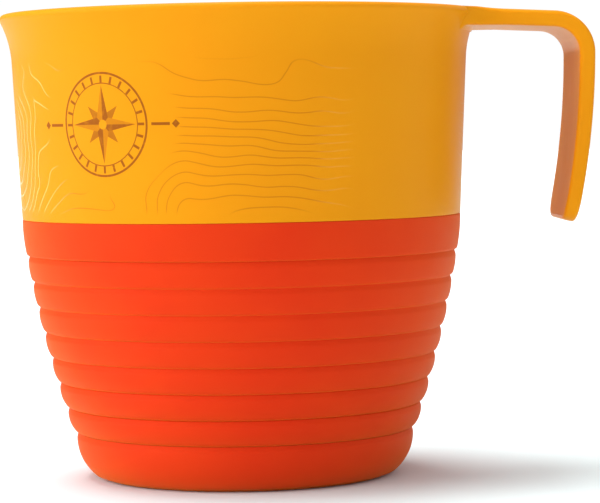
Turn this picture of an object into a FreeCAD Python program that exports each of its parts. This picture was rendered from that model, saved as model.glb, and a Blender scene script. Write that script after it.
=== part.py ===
"""Collapsible travel cup: a rigid shell with a strap handle, on a soft stepped wall that folds up inside it.

Millimetres, +Z up. The origin is on the cup's axis, on the surface that it stands on, and the handle is on +X.
"""
import FreeCAD, Part
import math
import os
import re
import Sketcher

Vector = FreeCAD.Vector

# Driving sizes, in millimetres and degrees. Every alias has an underscore, which is how bound() finds it.
SIZES = {
    # Soft body: base band, equal rings, collar
    "band_height": 8.7,         # base band, from the table to the first hinge line
    "ring_count": 7,
    "ring_pitch": 4.8,
    "fold_radius": 40.5,        # outside of the top ring at its upper edge
    "fold_wall": 1.9,
    "bow_radius": 210.0,        # the wall bows out on one large arc
    "bow_rise": 34.6,           # from the top hinge line up to that arc's centre, where the wall would be upright
    "lip_proud": 0.3,           # how far each lip stands out over the ring below
    "lip_drop": 0.45,           # height of the round under each lip
    "groove_depth": 0.2,        # undercut behind each lip, from the face of the ring below
    "groove_height": 0.6,
    "collar_height": 6.8,
    "collar_step": 0.95,        # the collar's upper edge stands out this far over the top ring
    "foot_inset": 4.3,          # from the base band's side in to the foot ring
    "foot_ring": 3.8,           # width of the flat foot ring
    "floor_wall": 2.5,
    "floor_inset": 4.0,         # from the inside wall in to the flat floor
    "recess_depth": 0.8,
    "gate_radius": 1.5,         # moulding gate mark under the floor
    "gate_height": 0.3,
    # Rigid shell
    "cup_height": 87.5,
    "shell_wall": 2.0,
    "shell_taper": 1.45,        # the straight wall widens by this, from the collar to the flare
    "flare_length": 9.0,
    "rim_flare": 2.2,           # the flare widens the rim by this
    "tongue_clear": 1.8,        # soft material below the shell's tongue
    "tongue_inset": 1.05,       # the tongue's outside is this far inside the collar's upper edge
    "tongue_wall": 1.2,
    "lock_count": 12,           # windows that the soft material fills
    "lock_width": 5.0,
    "lock_height": 2.0,
    "lock_recess": 0.1,         # the lugs stop short of the tongue's inner face
    # Strap handle
    "strap_width": 26.0,
    "strap_thickness": 3.0,
    "strap_drop": 0.5,          # top of the strap below the rim
    "strap_edge": 0.8,
    "strap_reach": 21.0,        # from the rim out to the strap's outer face
    "root_curve": 12.0,         # concave curve, in plan, from the strap into the rim
    "run_slope": 2.8,           # fall of the strap's run on its way out from the root
    "bend_radius": 8.5,         # outside of the bend
    "leg_lean": 0.5,            # inward lean of the leg where it leaves the bend
    "leg_bow": 150.0,
    "leg_drop": 39.6,           # from the strap's top down to its free end
    "end_round": 4.5,
}

# Sizes that follow from the driving ones.
DERIVED = {
    "fold_height": "band_height + ring_count * ring_pitch",
    "bow_height": "fold_height + bow_rise",
    "split_height": "fold_height + collar_height",
    "split_radius": "fold_radius + collar_step",
    "flare_radius": "split_radius + shell_taper",
    "flare_height": "cup_height - flare_length",
    "rim_radius": "flare_radius + rim_flare",
    "lip_height": "cup_height - shell_wall / 2",
    "tongue_bottom": "fold_height + tongue_clear",
    "tongue_radius": "split_radius - tongue_inset",
    "lock_low": "(tongue_bottom + split_height - lock_height) / 2",
    "floor_height": "recess_depth + floor_wall",
    "strap_top": "cup_height - strap_drop",
    "strap_middle": "strap_top - strap_thickness / 2",
    "strap_end": "strap_top - leg_drop",
    "seat_radius": "rim_radius - 0.75 * shell_wall",
    "seat_reach": "seat_radius + root_curve",
    "root_centre": "strap_width / 2 + root_curve",
    "root_end": "sqrt(seat_reach * seat_reach - root_centre * root_centre)",
    "root_cosine": "root_end / seat_reach",
    "root_sine": "root_centre / seat_reach",
    "bend_middle": "bend_radius - strap_thickness / 2",
    "bend_start": "rim_radius + strap_reach - bend_radius",
    "bend_height": "strap_middle - (bend_start - root_end) * tan(run_slope * 1 deg) - bend_middle / cos(run_slope * 1 deg)",
    "bend_in_reach": "bend_start + bend_middle * sin(run_slope * 1 deg)",
    "bend_in_height": "bend_height + bend_middle * cos(run_slope * 1 deg)",
    "leg_start_reach": "bend_start + bend_middle * cos(leg_lean * 1 deg)",
    "leg_start_height": "bend_height - bend_middle * sin(leg_lean * 1 deg)",
    "leg_centre_reach": "leg_start_reach - leg_bow * cos(leg_lean * 1 deg)",
    "leg_centre_height": "leg_start_height + leg_bow * sin(leg_lean * 1 deg)",
    "leg_end_drop": "leg_centre_height - strap_end",
    "leg_end_reach": "leg_centre_reach + sqrt(leg_bow * leg_bow - leg_end_drop * leg_end_drop)",
}
# The same for each hinge line {k}, with 0 at the top. A face is the band that ends in the lip at its line: it leaves its
# top edge upright and bows in by its fall, and its lip carries on smoothly to the underside.
AT_LINE = {
    "level_{k}": "fold_height - {k} * ring_pitch",
    "drop_{k}": "bow_height - level_{k}",
    "wall_{k}": "fold_radius + sqrt(bow_radius * bow_radius - drop_{k} * drop_{k})"
                " - sqrt(bow_radius * bow_radius - drop_0 * drop_0)",
    "fall_{k}": "{above} - wall_{k} - lip_proud",
    "face_{k}": "{high} - lip_drop",
    "bow_{k}": "(fall_{k} * fall_{k} + face_{k} * face_{k}) / (2 * fall_{k})",
    "lean_{k}": "face_{k} / bow_{k}",
    "lip_{k}": "lip_drop / (1 - lean_{k})",
    "under_{k}": "wall_{k} + lip_proud - lip_{k} * sqrt(1 - lean_{k} * lean_{k})",
}
# The base band and the inside of the floor are one arc each, upright at the top.
AT_BASE = {
    "foot_radius": "wall_{k} - foot_inset",
    "foot_rise": "level_{k} - groove_height",
    "foot_bow": "(foot_inset * foot_inset + foot_rise * foot_rise) / (2 * foot_inset)",
    "recess_radius": "foot_radius - foot_ring",
    "floor_radius": "wall_{k} - fold_wall - floor_inset",
    "floor_rise": "level_{k} - floor_height",
    "floor_bow": "(floor_inset * floor_inset + floor_rise * floor_rise) / (2 * floor_inset)",
}

doc = FreeCAD.newDocument("TravelCup")
sheet = doc.addObject("Spreadsheet::Sheet", "Sizes")
sheet_names = []


def add_size(alias, text):
    """Put one named size on the next row of the sheet."""
    sheet_names.append(alias)
    row = len(sheet_names)
    sheet.set(f"A{row}", alias)
    sheet.set(f"B{row}", text)
    sheet.setAlias(f"B{row}", alias)


def value(expression):
    """The number that an expression over the sheet's names gives now."""
    return float(sheet.evalExpression(expression))


def bound(expression):
    """The same expression, as the other objects of the document write it."""
    return re.sub(r"[a-z]+(_[a-z0-9]+)+", r"Sizes.\g<0>", expression)


def new_body(label):
    """An empty body that is written under this label."""
    body = doc.addObject("PartDesign::Body", label)
    body.Label = label
    body.Placement = FreeCAD.Placement()
    return body


def origin_part(body, role):
    """One of the body's own origin planes or axes."""
    return next(part for part in body.Origin.OriginFeatures if part.Role == role)


def new_sketch(body, name, plane, offset="0"):
    """A sketch on one of the body's own origin planes, moved along the plane's normal by an expression."""
    sketch = body.newObject("Sketcher::SketchObject", name)
    sketch.AttachmentSupport = [(origin_part(body, plane), "")]
    sketch.MapMode = "FlatFace"
    sketch.setExpression("AttachmentOffset.Base.z", bound(offset))
    return sketch


def bind(sketch, kind, *target, size):
    """Add a dimension to a sketch and let the sheet drive it."""
    index = sketch.addConstraint(Sketcher.Constraint(kind, *target, value(size)))
    sketch.renameConstraint(index, f"size_{index}")
    sketch.setExpression(f"Constraints.size_{index}", bound(size))


def arc_through(start, end, radius):
    """The short arc from start to end, which bulges to the right of that way where the radius is positive."""
    half = (end - start) / 2
    sideways = Vector(half.y, -half.x, 0).normalize() * math.copysign(1, radius)
    depth = math.sqrt(max(radius * radius - half.Length ** 2, 0))
    return Part.Arc(start, start + half + sideways * (abs(radius) - depth), end)


def tangent_radius(before, after, chord):
    """Signed radius of the arc over chord whose tangent at one end is the other direction of the pair."""
    return math.copysign(chord.Length / 2 / math.sin(before.getAngle(after)), before.cross(after).z)


def outline(sketch, corners, closed=True):
    """Draw edges through corners (x, y, edge), all expressions, where edge shapes what leaves the corner.

    An edge of None is straight, "from last" and "into next" are arcs that run smoothly from the edge before or
    into the edge after, and any other text is an arc's radius. Each corner is dimensioned from the origin.
    """
    points = [Vector(value(x), value(y), 0) for x, y, _ in corners]
    edges = [edge for _, _, edge in corners]
    count = len(corners) if closed else len(corners) - 1
    tips = []
    for index in range(count):
        start, end = points[index], points[(index + 1) % len(points)]
        chord = end - start
        if edges[index] is None:
            curve = Part.LineSegment(start, end)
        elif edges[index] == "from last":
            curve = arc_through(start, end, tangent_radius(start - points[index - 1], chord, chord))
        elif edges[index] == "into next":
            beyond = points[(index + 2) % len(points)] - end
            curve = arc_through(start, end, tangent_radius(chord, beyond, chord))
        else:
            curve = arc_through(start, end, value(edges[index]))
        sketch.addGeometry(curve)
        # A sketch keeps its arcs anticlockwise, so one drawn clockwise has its two ends swapped.
        kept = sketch.getPoint(index, 1).distanceToPoint(start) < chord.Length / 2
        tips.append((1, 2) if kept else (2, 1))
    for index in range(count if closed else count - 1):
        after = (index + 1) % count
        smooth = edges[index] == "into next" or edges[after] == "from last"
        kind = "Tangent" if smooth else "Coincident"
        sketch.addConstraint(Sketcher.Constraint(kind, index, tips[index][1], after, tips[after][0]))
    for index in range(count):
        if edges[index] not in (None, "from last", "into next"):
            bind(sketch, "Radius", index, size=f"abs({edges[index]})")
    for index, (x, y, _) in enumerate(corners):
        edge = min(index, count - 1)
        tip = tips[edge][0 if index == edge else 1]
        for kind, axis, size in (("DistanceX", -2, x), ("DistanceY", -1, y)):
            if size == "0":
                sketch.addConstraint(Sketcher.Constraint("PointOnObject", edge, tip, axis))
            else:
                bind(sketch, kind, -1, 1, edge, tip, size=size)


def revolve(body, name, corners):
    """Turn a closed half section (radius, height) round the cup's axis."""
    section = new_sketch(body, f"{name}_section", "XZ_Plane")
    outline(section, corners)
    turned = body.newObject("PartDesign::Revolution", name)
    turned.Profile = section
    turned.ReferenceAxis = (section, ["V_Axis"])
    turned.Angle = 360
    doc.recompute()
    return turned


def extrude(body, name, kind, section, length, reverse):
    """Pad or pocket a sketch by a bound length, and stop if that adds or cuts nothing."""
    before = body.Tip.Shape.Volume if body.Tip else 0
    feature = body.newObject(f"PartDesign::{kind}", name)
    feature.Profile = section
    feature.setExpression("Length", bound(length))
    feature.Reversed = reverse
    doc.recompute()
    added = feature.Shape.Volume - before
    if (added if kind == "Pad" else -added) <= 0:
        raise ValueError(f"{name} points away from {body.Label}")
    return feature


def round_edges(body, name, radius, wanted):
    """Fillet the edges of the body's last shape that pass a test."""
    base = body.Tip
    names = [f"Edge{number}" for number, edge in enumerate(base.Shape.Edges, 1) if wanted(edge)]
    if not names:
        raise ValueError(f"{body.Label} has no edge for {name}")
    fillet = body.newObject("PartDesign::Fillet", name)
    fillet.Base = (base, names)
    fillet.setExpression("Radius", bound(radius))
    doc.recompute()
    return fillet


def ring_of(body, feature, name, count):
    """Repeat a feature evenly round the cup's axis."""
    pattern = body.newObject("PartDesign::PolarPattern", name)
    pattern.Originals = [feature]
    pattern.Axis = (origin_part(body, "Z_Axis"), [""])
    pattern.Angle = 360
    pattern.setExpression("Occurrences", bound(count))
    body.Tip = pattern
    doc.recompute()
    return pattern


def lock_section(body):
    """The outline of one lock window on the +X side, seen along X."""
    inner_face = "tongue_radius - tongue_wall + lock_recess"
    section = new_sketch(body, f"{body.Label}_lock_section", "YZ_Plane", inner_face)
    outline(section, [
        ("-lock_width / 2", "lock_low", None),
        ("lock_width / 2", "lock_low", None),
        ("lock_width / 2", "lock_low + lock_height", None),
        ("-lock_width / 2", "lock_low + lock_height", None),
    ])
    return section


def make_rim_shell():
    """Rigid upper shell: tapered wall, flared rim with a round lip, locked tongue and handle root."""
    body = new_body("rim_shell")
    root = new_sketch(body, "root_outline", "XY_Plane", "strap_top")
    outline(root, [
        ("root_end", "strap_width / 2", "-root_curve"),
        ("seat_radius * root_cosine", "seat_radius * root_sine", "-seat_radius"),
        ("seat_radius * root_cosine", "-seat_radius * root_sine", "-root_curve"),
        ("root_end", "-strap_width / 2", None),
    ])
    extrude(body, "handle_root", "Pad", root, "strap_thickness", True)

    def beside_strap(edge):
        curve = edge.Curve
        return isinstance(curve, Part.Circle) and abs(curve.Radius - value("root_curve")) < 0.01

    round_edges(body, "root_edges", "strap_edge", beside_strap)
    revolve(body, "shell_wall_turn", [
        ("tongue_radius - tongue_wall", "tongue_bottom", None),
        ("tongue_radius", "tongue_bottom", None),
        ("tongue_radius", "split_height", None),
        ("split_radius", "split_height", None),
        ("flare_radius", "flare_height", "from last"),
        ("rim_radius", "lip_height", "shell_wall / 2"),
        ("rim_radius - shell_wall / 2", "cup_height", "shell_wall / 2"),
        ("rim_radius - shell_wall", "lip_height", "into next"),
        ("flare_radius - shell_wall", "flare_height", None),
    ])
    windows = extrude(body, "lock_window", "Pocket", lock_section(body), "tongue_wall", True)
    ring_of(body, windows, "lock_windows", "lock_count")
    return body


def make_handle():
    """Strap beyond the root: it runs out with a slight fall, bends down on one curve and hangs free."""
    body = new_body("handle")
    path = new_sketch(body, "strap_path", "XZ_Plane")
    outline(path, [
        ("root_end", "strap_middle", None),
        ("bend_in_reach", "bend_in_height", "-bend_middle"),
        ("leg_start_reach", "leg_start_height", "-leg_bow"),
        ("leg_end_reach", "strap_end", None),
    ], closed=False)
    section = new_sketch(body, "strap_section", "YZ_Plane", "root_end")
    outline(section, [
        ("-strap_width / 2", "strap_top - strap_thickness", None),
        ("strap_width / 2", "strap_top - strap_thickness", None),
        ("strap_width / 2", "strap_top", None),
        ("-strap_width / 2", "strap_top", None),
    ])
    doc.recompute()
    strap = body.newObject("PartDesign::AdditivePipe", "strap")
    strap.Profile = section
    strap.Spine = (path, [])
    doc.recompute()
    near_end = value("strap_end + strap_thickness")

    def across_end(edge):
        short = edge.Length < value("strap_thickness") * 1.1
        return short and edge.CenterOfMass.z < near_end

    def outer_edge(edge):
        along_y = abs(edge.CenterOfMass.y) < 0.01
        beyond_root = edge.CenterOfMass.x > value("root_end") + 0.01
        return beyond_root and (not along_y or edge.CenterOfMass.z < near_end)

    round_edges(body, "end_corners", "end_round", across_end)
    round_edges(body, "strap_edges", "strap_edge", outer_edge)
    return body


def make_collar():
    """Plain soft band over the tongue, with a lug through each lock window."""
    body = new_body("soft_collar")
    revolve(body, "collar_turn", [
        ("wall_0 - fold_wall", "fold_height", None),
        ("tongue_radius - tongue_wall", "tongue_bottom", None),
        ("tongue_radius", "tongue_bottom", None),
        ("tongue_radius", "split_height", None),
        ("split_radius", "split_height", "-bow_0"),
        ("wall_0 + lip_proud", "fold_height + lip_drop", "-lip_0"),
        ("under_0", "fold_height", None),
    ])
    lug = extrude(body, "lock_lug", "Pad", lock_section(body), "tongue_wall", False)
    ring_of(body, lug, "lock_lugs", "lock_count")
    return body


def make_fold_ring(number):
    """One stepped band: a convex face, a round lip, and a thin hinge behind the groove above it."""
    upper, lower = number - 1, number
    body = new_body(f"fold_ring_{number}")
    revolve(body, f"ring_{number}_turn", [
        (f"wall_{upper} - fold_wall", f"level_{upper}", None),
        (f"wall_{upper} - groove_depth", f"level_{upper}", None),
        (f"wall_{upper}", f"level_{upper} - groove_height", f"-bow_{lower}"),
        (f"wall_{lower} + lip_proud", f"level_{lower} + lip_drop", f"-lip_{lower}"),
        (f"under_{lower}", f"level_{lower}", None),
        (f"wall_{lower} - fold_wall", f"level_{lower}", None),
    ])
    return body


def make_base(last):
    """Lowest band, floor and foot: a dish on a flat foot ring, with a shallow recess and a gate mark."""
    body = new_body("soft_base")
    revolve(body, "base_turn", [
        ("0", "recess_depth", None),
        ("recess_radius - recess_depth", "recess_depth", None),
        ("recess_radius", "0", None),
        ("foot_radius", "0", "foot_bow"),
        (f"wall_{last}", f"level_{last} - groove_height", None),
        (f"wall_{last} - groove_depth", f"level_{last}", None),
        (f"wall_{last} - fold_wall", f"level_{last}", "-floor_bow"),
        ("floor_radius", "floor_height", None),
        ("0", "floor_height", None),
    ])
    gate = new_sketch(body, "gate_outline", "XY_Plane", "recess_depth - gate_height")
    gate.addGeometry(Part.Circle(Vector(0, 0, 0), Vector(0, 0, 1), value("gate_radius")))
    gate.addConstraint(Sketcher.Constraint("Coincident", 0, 3, -1, 1))
    bind(gate, "Radius", 0, size="gate_radius")
    extrude(body, "gate_mark", "Pad", gate, "gate_height", False)
    return body


def check(bodies):
    """Stop if any object failed or any body is not one sound solid."""
    for item in doc.Objects:
        bad = [state for state in item.State if state in ("Invalid", "Error")]
        if bad:
            raise ValueError(f"{item.Name} is {bad}")
    for body in bodies:
        shape = body.Shape
        if shape.isNull() or not shape.isValid() or len(shape.Solids) != 1:
            raise ValueError(f"{body.Label} is not one sound solid")


for alias, number in SIZES.items():
    add_size(alias, str(number))
doc.recompute()
for alias, formula in DERIVED.items():
    add_size(alias, f"={formula}")
doc.recompute()
rings = round(value("ring_count"))
for k in range(rings + 1):
    above = f"wall_{k - 1}" if k else "split_radius"
    high = "(ring_pitch - groove_height)" if k else "collar_height"
    for alias, formula in AT_LINE.items():
        add_size(alias.format(k=k), "=" + formula.format(k=k, above=above, high=high))
for alias, formula in AT_BASE.items():
    add_size(alias, "=" + formula.format(k=rings))
doc.recompute()

bodies = [make_rim_shell(), make_handle(), make_collar()]
bodies += [make_fold_ring(number) for number in range(1, rings + 1)]
bodies.append(make_base(rings))
doc.recompute()
check(bodies)

os.makedirs("parts", exist_ok=True)
for body in bodies:
    body.Shape.exportStep(f"parts/{body.Label}.step")
    print(f"{body.Label}: {body.Shape.Volume:.1f} mm3")
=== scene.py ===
import math

import bmesh
import bpy
import numpy as np
from mathutils import Matrix


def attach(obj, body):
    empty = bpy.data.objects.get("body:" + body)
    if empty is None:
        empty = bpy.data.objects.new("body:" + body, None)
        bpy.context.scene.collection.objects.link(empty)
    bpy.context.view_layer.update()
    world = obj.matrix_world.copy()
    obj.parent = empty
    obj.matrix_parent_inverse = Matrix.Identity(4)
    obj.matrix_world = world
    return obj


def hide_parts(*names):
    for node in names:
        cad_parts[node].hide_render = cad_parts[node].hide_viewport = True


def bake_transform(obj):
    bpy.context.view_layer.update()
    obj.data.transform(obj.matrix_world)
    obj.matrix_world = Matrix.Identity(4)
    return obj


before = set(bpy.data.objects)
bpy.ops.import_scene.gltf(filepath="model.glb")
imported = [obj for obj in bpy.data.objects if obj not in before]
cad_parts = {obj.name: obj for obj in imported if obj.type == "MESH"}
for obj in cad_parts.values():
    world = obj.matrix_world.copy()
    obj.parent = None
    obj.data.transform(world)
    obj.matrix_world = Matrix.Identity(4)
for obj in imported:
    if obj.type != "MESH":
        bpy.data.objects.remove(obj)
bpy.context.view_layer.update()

# ---------------------------------------------------------------------------------------------------------------------
# Camera: half a metre in front of the cup and a little above its middle, with the strap handle to the right.
# It is turned a touch towards the handle and held a touch clockwise, so the cup leans to the left by under a degree.
CAMERA_LENS = 158.5
CAMERA_PLACE = (0.0, -0.502, 0.0659)
CAMERA_TURN = -1.25
CAMERA_FALL = -2.72
CAMERA_ROLL = -0.91
camera_data = bpy.data.cameras.new("camera")
camera_data.sensor_width = 36.0
camera_data.lens = CAMERA_LENS
camera_data.clip_start = 0.05
camera = bpy.data.objects.new("camera", camera_data)
camera.matrix_world = (
    Matrix.Translation(CAMERA_PLACE)
    @ Matrix.Rotation(math.radians(CAMERA_TURN), 4, "Z")
    @ Matrix.Rotation(math.radians(90 + CAMERA_FALL), 4, "X")
    @ Matrix.Rotation(math.radians(CAMERA_ROLL), 4, "Z")
)
bpy.context.scene.collection.objects.link(camera)
bpy.context.scene.camera = camera
bpy.context.scene.view_settings.view_transform = "Standard"

# ---------------------------------------------------------------------------------------------------------------------
# Rigid shell: the cup's upper half, injection moulded in yellow polypropylene with a satin skin.
# A tapered wall flares into a rounded lip; below, a thin tongue reaches down into the soft collar.
SPLIT_HEIGHT = 49.1
SPLIT_RADIUS = 41.45
FLARE_HEIGHT = 78.5
FLARE_RADIUS = 42.9
RIM_RADIUS = 45.1
CUP_HEIGHT = 87.5
SHELL_WALL = 2.0
TONGUE_RADIUS = 40.4
TONGUE_WALL = 1.2
TONGUE_BOTTOM = 44.1
SPLIT_EDGE = 0.18
SAME_POINT = 2e-6
SHARP_ANGLE = 40.0


def arc(start, end, radius, steps=20):
    """Points on the circle of this radius through both ends, turning left where the radius is positive: the centre is
    beside the middle of the chord, off it by the root of the radius squared less half the chord squared."""
    start, end = np.array(start, float), np.array(end, float)
    half = (end - start) / 2
    off = math.sqrt(max(radius * radius - half @ half, 0.0)) * np.sign(radius)
    centre = start + half + off * np.array([-half[1], half[0]]) / np.linalg.norm(half)
    first, last = start - centre, end - centre
    angle = math.atan2(first[0] * last[1] - first[1] * last[0], first @ last)
    turn = np.linspace(0, angle, steps)[:, None]
    return centre + first * np.cos(turn) + np.array([-first[1], first[0]]) * np.sin(turn)


def arc_from(direction, start, end, steps=20):
    """The arc that leaves its start in a given direction: its radius is the chord squared over twice the cross product
    of the direction and the chord."""
    direction = np.array(direction, float) / np.linalg.norm(direction)
    chord = np.array(end, float) - np.array(start, float)
    return arc(start, end, chord @ chord / (2 * (direction[0] * chord[1] - direction[1] * chord[0])), steps)


def chain(*parts):
    """Points and runs of points, put end to end as one profile of radius and height."""
    return np.concatenate([np.atleast_2d(np.array(part, float)) for part in parts])


def sheet_piece(name, grid, capped=False):
    """A smooth object at the origin from a grid of points in metres, rows by columns, with a face between each four
    neighbours. Columns close on themselves, and so do rows, unless the two end rows are capped. Doubles on a pole are
    merged, and all faces are turned to point outwards."""
    rows, columns = grid.shape[:2]
    row, column = np.meshgrid(np.arange(rows - 1 if capped else rows), np.arange(columns), indexing="ij")
    below, beside = (row + 1) % rows, (column + 1) % columns
    corners = [row * columns + column, row * columns + beside, below * columns + beside, below * columns + column]
    faces = np.stack(corners, axis=-1).reshape(-1, 4).tolist()
    if capped:
        faces += [list(range(columns)), list(range((rows - 1) * columns, rows * columns))]
    mesh = bpy.data.meshes.new(name)
    mesh.from_pydata(grid.reshape(-1, 3).tolist(), [], faces)
    work = bmesh.new()
    work.from_mesh(mesh)
    bmesh.ops.remove_doubles(work, verts=work.verts, dist=SAME_POINT)
    bmesh.ops.dissolve_degenerate(work, edges=work.edges, dist=SAME_POINT / 2)
    bmesh.ops.recalc_face_normals(work, faces=work.faces)
    work.to_mesh(mesh)
    work.free()
    mesh.polygons.foreach_set("use_smooth", np.ones(len(mesh.polygons), bool))
    mesh.set_sharp_from_angle(angle=math.radians(SHARP_ANGLE))
    piece = bpy.data.objects.new(name, mesh)
    bpy.context.scene.collection.objects.link(piece)
    return piece


def turned(name, profile, steps=288):
    """A closed profile of radius and height, in millimetres, turned about the cup's axis: a point goes to radius times
    cosine, radius times sine, height."""
    angle = np.arange(steps) * (2 * math.pi / steps)
    radius, height = profile[:, :1] / 1000, profile[:, 1:] / 1000
    grid = np.stack([radius * np.cos(angle), radius * np.sin(angle), height + 0 * angle], axis=-1)
    return sheet_piece(name, grid)


lip_height = CUP_HEIGHT - SHELL_WALL / 2
tongue_inside, tongue_outside = (TONGUE_RADIUS - TONGUE_WALL, TONGUE_BOTTOM), (TONGUE_RADIUS, TONGUE_BOTTOM)
split_outside, flare_outside = (SPLIT_RADIUS, SPLIT_HEIGHT), (FLARE_RADIUS, FLARE_HEIGHT)
flare_inside = (FLARE_RADIUS - SHELL_WALL, FLARE_HEIGHT)
lip_outside, lip_inside = (RIM_RADIUS, lip_height), (RIM_RADIUS - SHELL_WALL, lip_height)
lip_top = (RIM_RADIUS - SHELL_WALL / 2, CUP_HEIGHT)
shell_profile = chain(
    np.linspace(tongue_inside, tongue_outside, 3),
    (TONGUE_RADIUS, SPLIT_HEIGHT),
    arc((SPLIT_RADIUS - SPLIT_EDGE, SPLIT_HEIGHT), (SPLIT_RADIUS, SPLIT_HEIGHT + SPLIT_EDGE), SPLIT_EDGE, 6),
    np.linspace(split_outside, flare_outside, 40)[1:-1],
    arc_from(np.subtract(flare_outside, split_outside), flare_outside, lip_outside, 24),
    arc(lip_outside, lip_top, SHELL_WALL / 2, 9)[1:],
    arc(lip_top, lip_inside, SHELL_WALL / 2, 9)[1:],
    arc_from(np.subtract(flare_inside, tongue_inside), flare_inside, lip_inside, 24)[-2::-1],
    np.linspace(flare_inside, tongue_inside, 40)[1:-1],
)
rigid_shell = turned("rigid_shell", shell_profile)


class Wire:
    """One output of a finish's nodes. Sums on wires and numbers add Math nodes."""

    def __init__(self, finish, socket):
        self.finish, self.socket = finish, socket

    def maths(self, operation, *others):
        """One Math node on this wire and the others."""
        return self.finish.node("Math", {"operation": operation}, dict(enumerate((self, *others))))

    def __add__(self, other):
        return self.maths("ADD", other)

    def __radd__(self, other):
        return self.maths("ADD", other)

    def __sub__(self, other):
        return self.maths("SUBTRACT", other)

    def __rsub__(self, other):
        return self.finish.node("Math", {"operation": "SUBTRACT"}, {0: other, 1: self})

    def __mul__(self, other):
        return self.maths("MULTIPLY", other)

    def __truediv__(self, other):
        return self.maths("DIVIDE", other)

    def step(self, low, high):
        """0 below low and 1 above high, with a smooth step between; low above high turns it round."""
        inputs = {"Value": self, "From Min": low, "From Max": high}
        return self.finish.node("MapRange", {"interpolation_type": "SMOOTHSTEP"}, inputs)


class Finish:
    """A material under construction: one principled shader, and nodes that feed it."""

    def __init__(self, name, colour, roughness, **constants):
        self.material = bpy.data.materials.new(name)
        self.material.use_nodes = True
        self.tree = self.material.node_tree
        self.tree.nodes.clear()
        self.shader = self.tree.nodes.new("ShaderNodeBsdfPrincipled")
        output = self.tree.nodes.new("ShaderNodeOutputMaterial")
        self.tree.links.new(self.shader.outputs[0], output.inputs["Surface"])
        self.shader.inputs["Base Color"].default_value = (*colour, 1)
        self.shader.inputs["Roughness"].default_value = roughness
        for socket, constant in constants.items():
            self.shader.inputs[socket.replace("_", " ")].default_value = constant
        self.place = self.node("TexCoord", output="Object")
        parts = self.node("SeparateXYZ", inputs={0: self.place}, output=None)
        self.x, self.y, self.z = [Wire(self, parts.outputs[axis]) for axis in range(3)]

    def node(self, kind, settings=None, inputs=None, output=0):
        """Any node: its settings first, then a number, colour or wire for each named input. Gives the wire of one
        output, or the node itself where no output is asked for."""
        new = self.tree.nodes.new("ShaderNode" + kind)
        for name, setting in (settings or {}).items():
            setattr(new, name, setting)
        for name, given in (inputs or {}).items():
            if isinstance(given, Wire):
                self.tree.links.new(given.socket, new.inputs[name])
            else:
                new.inputs[name].default_value = given
        return new if output is None else Wire(self, new.outputs[output])

    def mix(self, share, first, second):
        """One colour going over to another: the share is 0 for the first and 1 for the second."""
        first, second = [c if isinstance(c, Wire) else (*c, 1) for c in (first, second)]
        return self.node("Mix", {"data_type": "RGBA"}, {0: share, 6: first, 7: second}, output=2)

    def noise(self, size, detail, place=None):
        """Soft noise from 0 to 1, whose lumps are about this many millimetres across."""
        inputs = {"Vector": place or self.place, "Scale": 1000 / size, "Detail": detail, "Roughness": 0.5}
        return self.node("TexNoise", {"noise_dimensions": "3D"}, inputs)

    def feed(self, socket, wire):
        """A wire into one of the shader's own sockets."""
        self.tree.links.new(wire.socket, self.shader.inputs[socket])

    def raise_skin(self, height, distance):
        """A bump of this many millimetres where the wire is 1."""
        inputs = {"Strength": 1.0, "Distance": distance / 1000, "Height": height}
        self.feed("Normal", self.node("Bump", inputs=inputs, output="Normal"))


SHELL_YELLOW = (0.72, 0.26, 0.006)
SHELL_DEEP = (0.7, 0.24, 0.006)
# The pale line tone below is a painted highlight: contour lines on the lit left and at the right edge are coloured as
# if catching the light.
PAINTED_LINE_HIGHLIGHT = (0.95, 0.55, 0.15)
LINE_TONE = (0.42, 0.1, 0.006)
PRINT_BROWN = (0.26, 0.062, 0.008)
GRAIN_DEPTH = 0.012
WALL_RADIUS = 42.6
WALL_MIDDLE = 0.9


def satin_yellow(name, roughness):
    """The moulding's own finish: hardly any mirror light, tinted warm, and a little light carried under the skin."""
    return Finish(
        name, SHELL_YELLOW, roughness,
        IOR=1.49, Specular_IOR_Level=0.06, Specular_Tint=(1.0, 0.8, 0.3, 1.0),
        Subsurface_Weight=0.1, Subsurface_Scale=0.002, Subsurface_Radius=(1.0, 0.45, 0.1),
    )


def yellow_tone(finish):
    """The moulding's colour, with faint clouds of a deeper tone."""
    return finish.mix(finish.noise(18.0, 3.0).step(0.3, 0.7) * 0.35, SHELL_YELLOW, SHELL_DEEP)


def yellow_grain(finish):
    """The height of the moulding's skin: a fine and a coarse grain in equal parts."""
    return finish.noise(0.35, 3.0) * 0.5 + finish.noise(3.0, 2.0) * 0.5


# What is drawn on the wall shows on its outer face only: a cone in the middle of the wall tells the faces apart.
shell_finish = satin_yellow("satin_yellow_polypropylene", 0.42)
f = shell_finish
radius = (f.x * f.x + f.y * f.y).maths("SQRT") * 1000
height = f.z * 1000
wall_slope = (FLARE_RADIUS - SPLIT_RADIUS) / (FLARE_HEIGHT - SPLIT_HEIGHT)
middle_radius = height * wall_slope + (SPLIT_RADIUS - WALL_MIDDLE - SPLIT_HEIGHT * wall_slope)
outside = (radius - middle_radius).step(-0.4, 0.4)

# The contour lines: inked round the badge, and glossy on the left and at the right edge, where they are painted pale as
# if catching the light, a painted highlight. They keep clear of the badge and of the wall's ends. Places round the wall
# are in millimetres from the front, and grow towards the handle.
LINE_PITCH = 3.3
LINE_WIDTH = 0.22
LINE_INK = 0.48
LINE_HIGHLIGHT_SHARE = 0.45
LINES_BOTTOM = (50.4, 51.9)
LINES_TOP = (78.4, 76.4)
LEAST_SLOPE = 0.04
NUDGE = 0.0002
GROUND_HEIGHT = 65.0
GROUND_WAVE = 20.0
GROUND_WAVE_RISE = 8.5
CLIFF_PLACE = -14.5
CLIFF_HALF = 5.5
CLIFF_TOP = 74.0
CLIFF_FOOT = 56.0
CLIFF_DROP = 3.5
HILL_PLACE = -63.0
HILL_SQUASH = 0.8
HILL_RADIUS = 18.0
HILL_SLOPE = 0.42
PLAIN_PLACE = -44.0
PLAIN_HALF = 10.0


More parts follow.
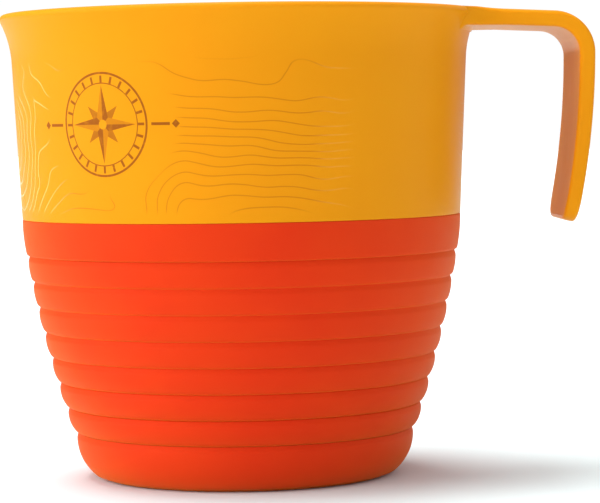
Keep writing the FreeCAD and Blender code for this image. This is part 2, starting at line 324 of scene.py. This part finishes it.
def ground(finish, shift):
    """The ground of a made-up hillside, whose whole numbers are its contour lines: height over the line pitch on the
    plain, less a cliff with smooth steps along and up it, less a slope times the distance from the hill's middle, plus
    lazy noise. The shift moves the place that is asked about."""
    place = finish.node("VectorMath", {"operation": "ADD"}, {0: finish.place, 1: shift})
    parts = finish.node("SeparateXYZ", inputs={0: place}, output=None)
    east, north, high = [Wire(finish, parts.outputs[axis]) for axis in range(3)]
    along = finish.node("Math", {"operation": "ARCTAN2"}, {0: east, 1: north * -1}) * WALL_RADIUS
    rise = high * 1000
    cliff = (along - CLIFF_PLACE).step(-CLIFF_HALF, CLIFF_HALF) * rise.step(CLIFF_TOP, CLIFF_FOOT) * CLIFF_DROP
    hill_side, hill_rise = along - HILL_PLACE, (rise - GROUND_HEIGHT) * HILL_SQUASH
    hill = (hill_side * hill_side + hill_rise * hill_rise).maths("SQRT").maths("MINIMUM", HILL_RADIUS) * HILL_SLOPE
    level = (along - PLAIN_PLACE).step(-PLAIN_HALF, PLAIN_HALF).maths("MAXIMUM", along.step(-90.0, -110.0))
    plain = ((rise - GROUND_HEIGHT) / LINE_PITCH) * level
    flat = finish.node("VectorMath", {"operation": "MULTIPLY"}, {0: place, 1: (0.6, 0.6, 1.0)})
    return plain - cliff - hill + finish.noise(GROUND_WAVE, 2.0, flat) * GROUND_WAVE_RISE


around = f.node("VectorMath", {"operation": "CROSS_PRODUCT"}, {0: f.place, 1: (0.0, 0.0, 1.0)})
around = f.node("VectorMath", {"operation": "NORMALIZE"}, {0: around})
around = f.node("VectorMath", {"operation": "SCALE"}, {0: around, "Scale": NUDGE})
here = ground(f, (0.0, 0.0, 0.0))
slope_up = (ground(f, (0.0, 0.0, NUDGE)) - here) / (NUDGE * 1000)
slope_around = (ground(f, around) - here) / (NUDGE * 1000)
slope = (slope_up * slope_up + slope_around * slope_around).maths("SQRT").maths("MAXIMUM", LEAST_SLOPE)
near_line = ((here + 0.5).maths("FRACT") - 0.5).maths("ABSOLUTE") / slope

# Places on the wall: the turn from the front, the badge's frame (along and up from its centre, the distance from it and
# the turn about it), and the parts that hold lines.
BADGE_TURN = -35.0
BADGE_HEIGHT = 66.7
BADGE_OVAL = 0.72
BADGE_INK = 0.72
BADGE_WEAR = 0.2
turn = f.node("Math", {"operation": "ARCTAN2"}, {0: f.x, 1: f.y * -1})
along_wall = turn * WALL_RADIUS
badge_u = (turn - math.radians(BADGE_TURN)) * WALL_RADIUS
badge_v = height - BADGE_HEIGHT
badge_r = (badge_u * badge_u + badge_v * badge_v).maths("SQRT")
badge_turn = f.node("Math", {"operation": "ARCTAN2"}, {0: badge_u, 1: badge_v})

left_part = along_wall.step(22.0, 12.0)
inked = left_part * along_wall.step(-44.0, -32.0)
right_edge = turn.step(1.25, 1.5) * 0.7
back_seam = turn.maths("ABSOLUTE").step(3.1, 2.9)
off_badge = (badge_u * badge_u * BADGE_OVAL + badge_v * badge_v).maths("SQRT").step(12.0, 14.0)
off_edges = height.step(*LINES_BOTTOM) * height.step(*LINES_TOP)
contour = near_line.step(LINE_WIDTH * 0.75, LINE_WIDTH * 0.25) * left_part.maths("MAXIMUM", right_edge)
contour = contour * back_seam * off_badge * off_edges * outside
# Painted highlight: the lines outside the inked part, on the left and at the right edge, are the ones tinted pale as if
# lit.
painted_highlight_lines = contour * (1 - inked)

# The printed badge: a compass rose of four long and four short points, in two thin rings with a tick every 15 degrees
# between them, and on each side a short bar that ends in a small diamond. Its ink is worn.
EDGE_BLUR = 0.12
LONG_TIP, LONG_WAIST = 7.0, 1.75
SHORT_TIP, SHORT_WAIST = 4.6, 1.6
OUTER_RING, INNER_RING, TICK_RING = 9.1, 7.3, 8.0
TICK_SPACING = 15.0
BAR_START, BAR_END, DIAMOND_PLACE = 10.0, 13.5, 14.6


def star(points, tip, waist, offset=0.0):
    """A star about the badge's centre, with straight edges from each tip to each waist: along one such edge the
    distance from the centre times a cosine and a sine of the turn from the tip keeps a constant sum."""
    sector = 2 * math.pi / points
    fold = ((badge_turn / sector + 0.5 + offset).maths("FRACT") - 0.5).maths("ABSOLUTE") * sector
    half = sector / 2
    lean = (tip / waist - math.cos(half)) / math.sin(half)
    edge = badge_r * (fold.maths("COSINE") + fold.maths("SINE") * lean)
    return edge.step(tip + EDGE_BLUR, tip - EDGE_BLUR)


def ring(middle, half_width):
    """A thin ring about the badge's centre: the distance from its middle radius, cut off at its half width."""
    return (badge_r - middle).maths("ABSOLUTE").step(half_width + 0.08, half_width - 0.08)


tick_step = math.radians(TICK_SPACING)
off_tick = ((badge_turn / tick_step + 0.5).maths("FRACT") - 0.5).maths("ABSOLUTE") * tick_step * badge_r
ticks = off_tick.step(0.32, 0.16) * (badge_r - TICK_RING).maths("ABSOLUTE").step(0.72, 0.56)
long_points = star(4, LONG_TIP, LONG_WAIST)
short_points = star(4, SHORT_TIP, SHORT_WAIST, 0.5)
half_shade = ((badge_turn / math.radians(90.0)).maths("FRACT") - 0.5).step(-0.01, 0.01)
rose = long_points.maths("MAXIMUM", short_points * 0.75)
rose = rose * (1 - half_shade * long_points * 0.55) * badge_r.step(0.75, 0.95)
side, off_line = badge_u.maths("ABSOLUTE"), badge_v.maths("ABSOLUTE")
bars = off_line.step(0.34, 0.18) * side.step(BAR_START - 0.1, BAR_START + 0.1) * side.step(BAR_END + 0.1, BAR_END - 0.1)
diamonds = ((side - DIAMOND_PLACE).maths("ABSOLUTE") + off_line).step(0.85, 0.65)
badge = rose
for mark in (ring(OUTER_RING, 0.2), ring(INNER_RING, 0.1), ticks, bars, diamonds):
    badge = badge.maths("MAXIMUM", mark)
front_half = f.y.step(0.0, -0.002)
badge = badge * front_half * outside

skin = f.mix(contour * inked * LINE_INK, yellow_tone(f), LINE_TONE)
# The painted highlight on those lines goes into the base colour here.
skin = f.mix(painted_highlight_lines * LINE_HIGHLIGHT_SHARE, skin, PAINTED_LINE_HIGHLIGHT)
worn = f.noise(0.9, 4.0).step(0.25, 0.5)
f.feed("Base Color", f.mix(badge * (worn * BADGE_WEAR + BADGE_INK), skin, PRINT_BROWN))
f.feed("Roughness", f.noise(6.0, 4.0) * 0.12 + 0.36 - painted_highlight_lines * 0.2 + badge * 0.1)
f.feed("Coat Weight", painted_highlight_lines * 0.4)
f.raise_skin(yellow_grain(f) + contour * (0.6 - inked * 0.5), GRAIN_DEPTH)
rigid_shell.data.materials.append(shell_finish.material)
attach(rigid_shell, "shell")
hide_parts("rim_shell")

# ---------------------------------------------------------------------------------------------------------------------
# Strap handle: one flat strap in the same moulding as the shell, 26 mm wide and about 3 mm thick with rounded edges.
# Its root spreads into the rim on two concave curves; it runs out with a slight fall, bends down on one curve, and
# thins a little on the way to its rounded free tip.
STRAP_WIDTH = 26.0
STRAP_THICKNESS = 3.0
STRAP_THIN = 0.12
STRAP_DROP = 0.5
STRAP_EDGE = 0.8
STRAP_REACH = 21.0
ROOT_CURVE = 12.0
ROOT_BITE = 0.75
ROOT_FILLET = 0.8
ROOT_SEAT = 1.55
ROOT_SEAT_SLANT = 0.55
ROOT_WALL = 1.1
ROOT_SPREAD = 1.6
ROOT_LIFT = 0.2
ROOT_BELOW_TOP = 0.02
RUN_SLOPE = math.radians(2.8)
BEND_RADIUS = 7.8
LEG_LEAN = math.radians(0.5)
LEG_BOW = 150.0
LEG_DROP = 39.6
END_ROUND = 4.5
half_width, half_thick = STRAP_WIDTH / 2, STRAP_THICKNESS / 2

strap_middle = CUP_HEIGHT - STRAP_DROP - half_thick
seat_radius = RIM_RADIUS - ROOT_BITE * SHELL_WALL
seat_reach, root_centre = seat_radius + ROOT_CURVE, half_width + ROOT_CURVE
root_end = math.sqrt(seat_reach ** 2 - root_centre ** 2)
bend_start, bend_middle = RIM_RADIUS + STRAP_REACH - BEND_RADIUS, BEND_RADIUS - half_thick
bend_height = strap_middle - (bend_start - root_end) * math.tan(RUN_SLOPE) - bend_middle / math.cos(RUN_SLOPE)
bend_in = (bend_start + bend_middle * math.sin(RUN_SLOPE), bend_height + bend_middle * math.cos(RUN_SLOPE))
leg_start = np.array([bend_start + bend_middle * math.cos(LEG_LEAN), bend_height - bend_middle * math.sin(LEG_LEAN)])
leg_centre = leg_start + LEG_BOW * np.array([-math.cos(LEG_LEAN), math.sin(LEG_LEAN)])
leg_end_height = CUP_HEIGHT - STRAP_DROP - LEG_DROP
leg_end = np.array([leg_centre[0] + math.sqrt(LEG_BOW ** 2 - (leg_centre[1] - leg_end_height) ** 2), leg_end_height])
strap_path = chain(
    np.linspace((root_end, strap_middle), bend_in, 200),
    arc(bend_in, leg_start, -bend_middle, 300)[1:],
    arc(leg_start, leg_end, -LEG_BOW, 900)[1:],
)


def length_along(line):
    """Distances along a run of points, from its first."""
    return np.concatenate([[0], np.cumsum(np.linalg.norm(np.diff(line, axis=0), axis=1))])


def strap_loop(to_end, side_steps=9, flat_steps=25):
    """Points round the strap's section, across and through it, at distances from its free end. At a level off the
    middle, the edge's quarter circle draws the outline in. The outline is a straight side with a circular corner: the
    root of the corner's drawn-in radius squared less the square of the distance past the corner's centre."""
    to_end = np.asarray(to_end, float)[:, None]
    core = half_thick - STRAP_EDGE
    reach = np.clip(to_end, 0, STRAP_EDGE)
    top = core + np.sqrt(np.clip(STRAP_EDGE ** 2 - (STRAP_EDGE - reach) ** 2, 0, None))
    level = top * np.sin(np.linspace(0, math.pi / 2, side_steps))[None, :]
    drawn = STRAP_EDGE - np.sqrt(np.clip(STRAP_EDGE ** 2 - np.clip(level - core, 0, None) ** 2, 0, None))
    past = np.clip(END_ROUND - to_end, 0, None)
    side = half_width - END_ROUND + np.sqrt(np.clip((END_ROUND - drawn) ** 2 - past ** 2, 0, None))
    flat = side[:, -1:] * np.cos(np.linspace(0, math.pi, flat_steps))[None, 1:-1]
    lid = np.repeat(top, flat_steps - 2, axis=1)
    across = np.concatenate([side, flat, -side[:, ::-1], -side[:, 1:], -flat, side[:, :0:-1]], axis=1)
    through = np.concatenate([level, lid, level[:, ::-1], -level[:, 1:], -lid, -level[:, :0:-1]], axis=1)
    return across, through


path_length = length_along(strap_path)
total = path_length[-1]
bend_first = bend_start - root_end
bend_last = bend_first + bend_middle * math.pi / 2


def along_path(distance):
    """Points of the strap's middle line at distances along it."""
    return np.stack([np.interp(distance, path_length, strap_path[:, axis]) for axis in range(2)], axis=-1)


stations = np.concatenate([
    np.linspace(0, bend_first, 8),
    np.linspace(bend_first, bend_last, 28)[1:],
    np.linspace(bend_last, total - END_ROUND, 30)[1:],
    total - END_ROUND * np.cos(np.linspace(0, math.pi / 2, 26)[1:]) ** 2,
])
middle = along_path(stations)
ahead = along_path(stations + 0.05)
behind = along_path(stations - 0.05)
tangent = (ahead - behind) / np.linalg.norm(ahead - behind, axis=1)[:, None]
outward = np.stack([-tangent[:, 1], tangent[:, 0]], axis=-1)
across, through = strap_loop(total - stations)
thinning = (1 - STRAP_THIN * (stations / total) ** 2)[:, None]
through = through * thinning
strap_grid = np.stack([
    middle[:, :1] + outward[:, :1] * through,
    across,
    middle[:, 1:] + outward[:, 1:] * through,
], axis=-1)

# The root: each section of the strap is widened along the concave curves, pulled back to the rim's circle across the
# middle, lifted to run flush into the lip, and let down at the underside by a small fillet where it meets the wall.
root_turn = math.asin(root_end / seat_reach)
sweep = np.linspace(root_turn, 0, 30)[:-1, None]
root_x = root_end - ROOT_CURVE * np.sin(sweep)
root_y = root_centre - ROOT_CURVE * np.cos(sweep)
share = sweep / root_turn
loop_y, loop_z = across[:1], through[:1]
wide_y = loop_y + np.sign(loop_y) * np.clip(np.abs(loop_y) / (half_width - STRAP_EDGE), 0, 1) * (root_y - half_width)
seat_y = wide_y[:1]
seat_depth = RIM_RADIUS - ROOT_SEAT + ROOT_SEAT_SLANT * loop_z / half_thick
seat_back = np.sqrt(seat_depth ** 2 - seat_y ** 2) - root_x[0]
wide_x = root_x + share ** ROOT_SPREAD * seat_back
off_rim = np.clip(root_end - wide_x, 0, None)
lift = off_rim * math.tan(RUN_SLOPE) + ROOT_LIFT * (off_rim / (root_end - RIM_RADIUS + 1)) ** 2
off_wall = np.clip(np.hypot(wide_x, wide_y) - (RIM_RADIUS - ROOT_WALL), 0, ROOT_FILLET)
let_down = ROOT_FILLET - np.sqrt(ROOT_FILLET ** 2 - (ROOT_FILLET - off_wall) ** 2)
wide_z = strap_middle + loop_z + lift * np.clip(0.5 + loop_z / half_thick, 0, 1)
wide_z = np.minimum(wide_z, CUP_HEIGHT - ROOT_BELOW_TOP) - let_down * np.clip(-loop_z / half_thick, 0, 1)
root_grid = np.stack([wide_x, wide_y, wide_z], axis=-1)
strap_handle = sheet_piece("strap_handle", np.concatenate([root_grid, strap_grid]) / 1000, capped=True)

strap_finish = satin_yellow("satin_yellow_strap", 0.4)
strap_finish.feed("Base Color", yellow_tone(strap_finish))
strap_finish.feed("Roughness", strap_finish.noise(6.0, 4.0) * 0.12 + 0.34)
strap_finish.raise_skin(yellow_grain(strap_finish), GRAIN_DEPTH)
strap_handle.data.materials.append(strap_finish.material)
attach(strap_handle, "shell")
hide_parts("handle")

# ---------------------------------------------------------------------------------------------------------------------
# Soft collar: the plain top band of the soft body, moulded in orange elastomer over the shell's tongue.
# Its face bows in a little to a rounded lip; its twelve lugs in the tongue's lock windows are not built here.
BAND_HEIGHT = 8.7
RING_COUNT = 7
RING_PITCH = 4.8
FOLD_RADIUS = 40.5
FOLD_WALL = 1.9
BOW_RADIUS = 210.0
BOW_RISE = 34.6
LIP_PROUD = 0.34
LIP_DROP = 0.45
GROOVE_DEPTH = 0.3
EDGE_SOFTNESS = 0.05
STIPPLE_DEPTH = 0.016
fold_height = BAND_HEIGHT + RING_COUNT * RING_PITCH
bow_height = fold_height + BOW_RISE


def wall_at(level):
    """Outside radius of the bowed wall: the top radius less what one large circle falls in by at this level."""
    bow = np.sqrt(BOW_RADIUS ** 2 - (bow_height - level) ** 2)
    return FOLD_RADIUS + bow - math.sqrt(BOW_RADIUS ** 2 - BOW_RISE ** 2)


def banded(top_radius, top, level):
    """One band's face and lip: an arc that starts upright and bows in to the lip's edge, whose radius is its chord
    squared over twice its fall, then the lip's own round down to the level of the groove."""
    wall = wall_at(level)
    edge = (wall + LIP_PROUD, level + LIP_DROP)
    fall, face = top_radius - edge[0], top - edge[1]
    bow = (fall ** 2 + face ** 2) / (2 * fall)
    lip = LIP_DROP / (1 - face / bow)
    under = edge[0] - lip * math.sqrt(1 - (face / bow) ** 2)
    return chain(arc((top_radius, top), edge, -bow, 24), arc(edge, (under, level), -lip, 10)[1:])


def softened(outline, blur, count):
    """An open profile whose corners are rounded as by a ball of about the blur's size: it is sampled finely, averaged
    along its length with a bell curve, and picked again at even steps of its length plus keenness times its turn."""
    fine, keenness = 0.02, 0.6
    length = length_along(outline)
    even = np.arange(0, length[-1], fine)
    curve = np.stack([np.interp(even, length, outline[:, axis]) for axis in range(2)], axis=-1)
    span = int(3 * blur / fine)
    bell = np.exp(-0.5 * (np.arange(-span, span + 1) * fine / blur) ** 2)
    before = 2 * curve[0] - curve[span:0:-1]
    after = 2 * curve[-1] - curve[-2:-span - 2:-1]
    padded = np.concatenate([before, curve, after])
    smooth = np.stack([np.convolve(padded[:, axis], bell / bell.sum(), mode="valid") for axis in range(2)], axis=-1)
    way = np.diff(smooth, axis=0)
    heading = np.unwrap(np.arctan2(way[:, 1], way[:, 0]))
    cost = np.concatenate([[0], np.cumsum(fine + keenness * np.abs(np.diff(heading, append=heading[-1])))])
    pick = np.linspace(0, cost[-1], count)
    return np.stack([np.interp(pick, cost, smooth[:, axis]) for axis in range(2)], axis=-1)


collar_outside = chain(
    (TONGUE_RADIUS, SPLIT_HEIGHT),
    arc((SPLIT_RADIUS - SPLIT_EDGE, SPLIT_HEIGHT), (SPLIT_RADIUS, SPLIT_HEIGHT - SPLIT_EDGE), -SPLIT_EDGE, 6),
    banded(SPLIT_RADIUS, SPLIT_HEIGHT - SPLIT_EDGE, fold_height),
    (wall_at(fold_height) - GROOVE_DEPTH, fold_height),
)
collar_inside = chain(
    (wall_at(fold_height) - FOLD_WALL, fold_height),
    (TONGUE_RADIUS - TONGUE_WALL, TONGUE_BOTTOM),
    (TONGUE_RADIUS, TONGUE_BOTTOM),
)
soft_collar = turned("collar_band", chain(softened(collar_outside, EDGE_SOFTNESS, 70), collar_inside))

SOFT_ORANGE = (0.65, 0.027, 0.006)
SOFT_DEEP = (0.61, 0.015, 0.006)

# The elastomer's skin: a fine stipple, faint clouds of tone, a dusty bloom, and a little light carried under it.
orange = Finish(
    "matte_orange_elastomer", SOFT_ORANGE, 0.6,
    IOR=1.5, Specular_IOR_Level=0.08, Specular_Tint=(1.0, 0.7, 0.3, 1.0),
    Subsurface_Weight=0.12, Subsurface_Scale=0.003, Subsurface_Radius=(1.0, 0.25, 0.08),
    Sheen_Weight=0.2, Sheen_Roughness=0.6, Sheen_Tint=(0.9, 0.7, 0.05, 1.0),
)
cloud = orange.noise(14.0, 3.0).step(0.3, 0.7)
orange.feed("Base Color", orange.mix(cloud * 0.4, SOFT_ORANGE, SOFT_DEEP))
orange.feed("Roughness", orange.noise(5.0, 4.0) * 0.14 + 0.54)
orange.raise_skin(orange.noise(0.3, 3.0) * 0.6 + orange.noise(2.2, 2.0) * 0.4, STIPPLE_DEPTH)
soft_collar.data.materials.append(orange.material)
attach(soft_collar, "shell")
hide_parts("soft_collar")

# ---------------------------------------------------------------------------------------------------------------------
# Fold wall: seven stepped bands in the same elastomer, each ending in a lip over an undercut groove.
# On the cup the grooves are living hinges: when the base is pushed up, the whole wall rolls over and turns inside out.
# Here the wall is one still piece, baked in place.
GROOVE_HEIGHT = 1.0
STEP_BLUR = 0.16
SOFT_STEPS = 240
bands = []
for number in range(1, RING_COUNT + 1):
    upper, level = fold_height - (number - 1) * RING_PITCH, fold_height - number * RING_PITCH
    bands += [(wall_at(upper) - GROOVE_DEPTH, upper), banded(wall_at(upper), upper - GROOVE_HEIGHT, level)]
bands.append((wall_at(BAND_HEIGHT) - GROOVE_DEPTH, BAND_HEIGHT))
inside_levels = np.linspace(BAND_HEIGHT, fold_height, 40)
wall_inside = np.stack([wall_at(inside_levels) - FOLD_WALL, inside_levels], axis=-1)
fold_wall = turned("fold_wall", chain(softened(chain(*bands), STEP_BLUR, 230), wall_inside), SOFT_STEPS)
fold_wall.data.materials.append(orange.material)
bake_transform(fold_wall)
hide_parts(*[f"fold_ring_{number}" for number in range(1, RING_COUNT + 1)])

# ---------------------------------------------------------------------------------------------------------------------
# Soft base: the lowest band, the floor and the foot, one dish that closes the soft body.
# It stands on a flat foot ring round a shallow recess, and the mould's gate has left a small disc in the middle.
FOOT_INSET = 4.3
FOOT_RING = 3.8
FOOT_ROUND = 0.9
FOOT_SKIPPED = 5
FLOOR_WALL = 2.5
FLOOR_INSET = 4.0
RECESS_DEPTH = 0.8
GATE_RADIUS = 1.5
GATE_HEIGHT = 0.3
last_wall = float(wall_at(BAND_HEIGHT))
foot_radius = last_wall - FOOT_INSET
recess_radius = foot_radius - FOOT_RING
foot_rise = BAND_HEIGHT - GROOVE_HEIGHT
foot_bow = (FOOT_INSET ** 2 + foot_rise ** 2) / (2 * FOOT_INSET)
floor_height = RECESS_DEPTH + FLOOR_WALL
floor_rise = BAND_HEIGHT - floor_height
floor_bow = (FLOOR_INSET ** 2 + floor_rise ** 2) / (2 * FLOOR_INSET)
floor_radius = last_wall - FOLD_WALL - FLOOR_INSET
base_outside = chain(
    (last_wall - GROOVE_DEPTH, BAND_HEIGHT),
    arc((last_wall, foot_rise), (foot_radius, 0), -foot_bow, 40)[:-FOOT_SKIPPED],
    (foot_radius - FOOT_ROUND, 0),
    (recess_radius, 0),
    (recess_radius - RECESS_DEPTH, RECESS_DEPTH),
    (GATE_RADIUS + 0.1, RECESS_DEPTH),
    (GATE_RADIUS, RECESS_DEPTH - GATE_HEIGHT),
    (0, RECESS_DEPTH - GATE_HEIGHT),
)
base_inside = chain(
    np.linspace((0, floor_height), (floor_radius, floor_height), 16),
    arc((floor_radius, floor_height), (last_wall - FOLD_WALL, BAND_HEIGHT), floor_bow, 24)[1:],
)
soft_base = turned("base_dish", chain(softened(base_outside, STEP_BLUR, 130), base_inside), SOFT_STEPS)
soft_base.data.materials.append(orange.material)
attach(soft_base, "base")
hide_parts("soft_base")

# ---------------------------------------------------------------------------------------------------------------------
# Studio: a pale paper floor, a pale backdrop and plain white light. The sky is a dim wrap-round tent with a broad
# bright wall on the left and a weak one on the right. Four wide soft lamps stand overhead, on the left and in front.
FLOOR_HALF = 6.0
floor_mesh = bpy.data.meshes.new("studio_floor")
floor_corners = [(east * FLOOR_HALF, north * FLOOR_HALF, 0) for east, north in ((-1, -1), (1, -1), (1, 1), (-1, 1))]
floor_mesh.from_pydata(floor_corners, [], [(0, 1, 2, 3)])
floor = bpy.data.objects.new("studio_floor", floor_mesh)
bpy.context.scene.collection.objects.link(floor)
paper = Finish("white_paper", (0.76, 0.88, 0.89), 0.9, Specular_IOR_Level=0.1)
floor_mesh.materials.append(paper.material)

FRONT_LIGHT = 0.2
BACK_LIGHT = 0.3
LEFT_LIGHT = 1.0
RIGHT_LIGHT = 0.5
TOP_LIGHT = 0.25
BACKDROP = 1.02
world = bpy.data.worlds.new("studio")
world.use_nodes = True
bpy.context.scene.world = world


class Sky(Finish):
    """The same node writing on a world: the direction looked at stands in for the place."""

    def __init__(self, tree):
        self.tree = tree
        self.place = self.node("TexCoord", output="Generated")
        parts = self.node("SeparateXYZ", inputs={0: self.place}, output=None)
        self.x, self.y, self.z = [Wire(self, parts.outputs[axis]) for axis in range(3)]


sky = Sky(world.node_tree)
above = sky.z.step(-0.15, 0.02)
left_wall = sky.x.step(-0.3, -0.7) * above * sky.z.step(0.6, 0.3) * sky.y.step(0.4, 0.0)
right_wall = sky.x.step(0.4, 0.8) * above
light = FRONT_LIGHT + sky.y.step(-0.2, 0.6) * (BACK_LIGHT - FRONT_LIGHT) + left_wall * LEFT_LIGHT
light = light + right_wall * RIGHT_LIGHT + sky.z.step(0.35, 0.75) * TOP_LIGHT
seen = sky.node("LightPath", output="Is Camera Ray")
strength = light + seen * (BACKDROP - light)
background = sky.tree.nodes["Background"].inputs
sky.tree.links.new(strength.socket, background["Strength"])
background["Color"].default_value = (1, 1, 1, 1)


def softbox(name, power, turn, elevation, width):
    """A far, wide and white lamp. In degrees, it is turned about the cup's axis from the front, raised by its
    elevation, and as wide as its width."""
    lamp = bpy.data.lights.new(name, "SUN")
    lamp.energy, lamp.angle = power, math.radians(width)
    box = bpy.data.objects.new(name, lamp)
    box.matrix_world = (
        Matrix.Rotation(math.radians(turn), 4, "Z") @ Matrix.Rotation(math.radians(90 - elevation), 4, "X")
    )
    bpy.context.scene.collection.objects.link(box)


softbox("overhead", power=2.9, turn=-138, elevation=78, width=34)
softbox("left", power=2.5, turn=-78, elevation=18, width=60)
softbox("front_left", power=0.9, turn=-38, elevation=8, width=70)
softbox("front_right", power=0.35, turn=20, elevation=6, width=80)
